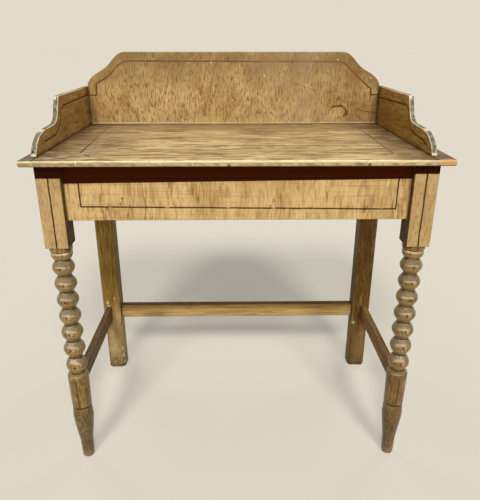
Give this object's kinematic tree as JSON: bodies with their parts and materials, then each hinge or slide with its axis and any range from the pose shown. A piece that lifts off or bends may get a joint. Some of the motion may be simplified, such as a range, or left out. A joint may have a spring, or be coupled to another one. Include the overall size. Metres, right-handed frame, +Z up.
{
  "type": "side table",
  "caption": "Grain-painted pine washstand side table: flat top with a shaped low gallery, plain apron, bobbin-turned front legs, square back legs and low stretchers.",
  "frame": {"origin": "on the floor below the middle of the top", "axes": "+X along the front to the right, +Y from the front to the back, +Z up"},
  "size_m": [0.864, 0.492, 0.9538],
  "materials": {
    "top_scumble": "grain-painted pine with worn brown lining and bare worn edges",
    "gallery_scumble": "grain-painted pine with brown painted lining",
    "frame_scumble": "grain-painted pine, streaked and varnished",
    "turned_scumble": "grain-painted turned pine with worn varnish and painted dots",
    "bare_pine": "unfinished sawn pine",
    "iron": "dark iron with a little rust"
  },
  "bodies": {
    "root": {"top_front_board": "top_scumble", "top_rear_board": "top_scumble", "gallery_back": "gallery_scumble", "gallery_left": "gallery_scumble", "gallery_right": "gallery_scumble", "front_apron": "frame_scumble", "left_apron": "frame_scumble", "right_apron": "frame_scumble", "back_apron": "frame_scumble", "back_left_leg": "frame_scumble", "back_right_leg": "frame_scumble", "back_stretcher": "frame_scumble", "left_stretcher": "frame_scumble", "right_stretcher": "frame_scumble", "front_left_leg": "turned_scumble", "front_right_leg": "turned_scumble", "glue_block_front_1": "bare_pine", "glue_block_front_2": "bare_pine", "glue_block_front_3": "bare_pine", "glue_block_back_1": "bare_pine", "glue_block_back_2": "bare_pine", "glue_block_back_3": "bare_pine", "glue_block_left_1": "bare_pine", "glue_block_left_2": "bare_pine", "glue_block_right_1": "bare_pine", "glue_block_right_2": "bare_pine", "gallery_back_screw_1": "iron", "gallery_back_screw_2": "iron", "gallery_back_screw_3": "iron", "gallery_left_screw_1": "iron", "gallery_left_screw_2": "iron", "gallery_right_screw_1": "iron", "gallery_right_screw_2": "iron", "gallery_left_nail_1": "iron", "gallery_left_nail_2": "iron", "gallery_right_nail_1": "iron", "gallery_right_nail_2": "iron"}
  },
  "joints": []
}
